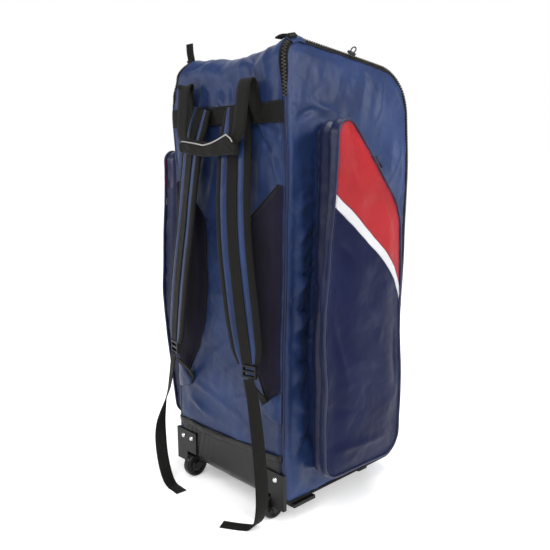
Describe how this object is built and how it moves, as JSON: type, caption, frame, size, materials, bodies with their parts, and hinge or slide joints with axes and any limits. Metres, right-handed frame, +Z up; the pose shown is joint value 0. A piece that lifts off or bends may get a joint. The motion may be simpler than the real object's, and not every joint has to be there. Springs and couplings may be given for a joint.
{
  "type": "wheeled travel bag",
  "caption": "Tall soft wheeled travel bag with padded shoulder straps, a haul handle, zipped side pockets and a coated base on wheels.",
  "frame": {"origin": "on the floor, at the centre of the footprint of the bounding box", "axes": "+Z up; -Y the side with the shoulder straps and the wheels; +X the wearer's left, the side whose pocket the picture shows"},
  "size_m": [0.5382, 0.4692, 0.9418],
  "materials": {
    "navy_nylon": "plain-woven navy nylon with a soft sheen",
    "red_nylon": "plain-woven red nylon with a soft sheen",
    "white_nylon": "plain white stripe fabric",
    "pad_mesh": "dark spacer mesh over foam",
    "black_webbing": "matte black ribbed webbing and zip tape",
    "charcoal_vinyl": "coated charcoal cloth with a dull sheen",
    "black_plastic": "moulded black plastic",
    "wheel_rubber": "smooth black wheel rubber",
    "steel": "polished nickel-plated steel"
  },
  "bodies": {
    "bag": {"back_panel": "navy_nylon", "lid_panel": "navy_nylon", "base_panel": "navy_nylon", "base_vinyl": "charcoal_vinyl", "main_zip_front": "black_webbing", "webbing_band": "black_webbing", "zip_slider_top": "black_plastic", "haul_handle": "black_webbing", "handle_wrap": "black_webbing", "side_panel_right": "navy_nylon", "seam_piping_right": "navy_nylon", "main_zip_right": "black_webbing", "back_pad_right": "pad_mesh", "pad_piping_right": "black_webbing", "pocket_gusset_right": "navy_nylon", "pocket_lower_right": "navy_nylon", "pocket_stripe_right": "white_nylon", "pocket_upper_right": "red_nylon", "pocket_piping_right": "navy_nylon", "pocket_zip_right": "black_webbing", "pocket_slider_upper_right": "black_plastic", "pocket_slider_lower_right": "black_plastic", "shoulder_strap_right": "navy_nylon", "strap_webbing_right": "black_webbing", "strap_buckle_right": "black_plastic", "strap_tail_right": "black_webbing", "strap_anchor_right": "black_webbing", "wheel_housing_right": "black_plastic", "rivet_inner_right": "steel", "rivet_outer_right": "steel", "corner_skid_right": "black_plastic", "front_foot_right": "black_plastic", "zip_slider_right": "black_webbing", "side_panel_left": "navy_nylon", "seam_piping_left": "navy_nylon", "main_zip_left": "black_webbing", "back_pad_left": "pad_mesh", "pad_piping_left": "black_webbing", "pocket_gusset_left": "navy_nylon", "pocket_lower_left": "navy_nylon", "pocket_stripe_left": "white_nylon", "pocket_upper_left": "red_nylon", "pocket_piping_left": "navy_nylon", "pocket_zip_left": "black_webbing", "pocket_slider_upper_left": "black_plastic", "pocket_slider_lower_left": "black_plastic", "shoulder_strap_left": "navy_nylon", "strap_webbing_left": "black_webbing", "strap_buckle_left": "black_plastic", "strap_tail_left": "black_webbing", "strap_anchor_left": "black_webbing", "wheel_housing_left": "black_plastic", "rivet_inner_left": "steel", "rivet_outer_left": "steel", "corner_skid_left": "black_plastic", "front_foot_left": "black_plastic", "zip_slider_left": "black_webbing"},
    "wheel_right": {"wheel_right": "wheel_rubber"},
    "wheel_left": {"wheel_left": "wheel_rubber"}
  },
  "joints": [
    {"name": "wheel_right_spin", "type": "hinge", "parent": "bag", "child": "wheel_right", "pos_m": [0.11994, -0.13145, 0.027], "axis": [1, 0, 0], "continuous": true},
    {"name": "wheel_left_spin", "type": "hinge", "parent": "bag", "child": "wheel_left", "pos_m": [-0.13406, -0.13145, 0.027], "axis": [1, 0, 0], "continuous": true}
  ]
}
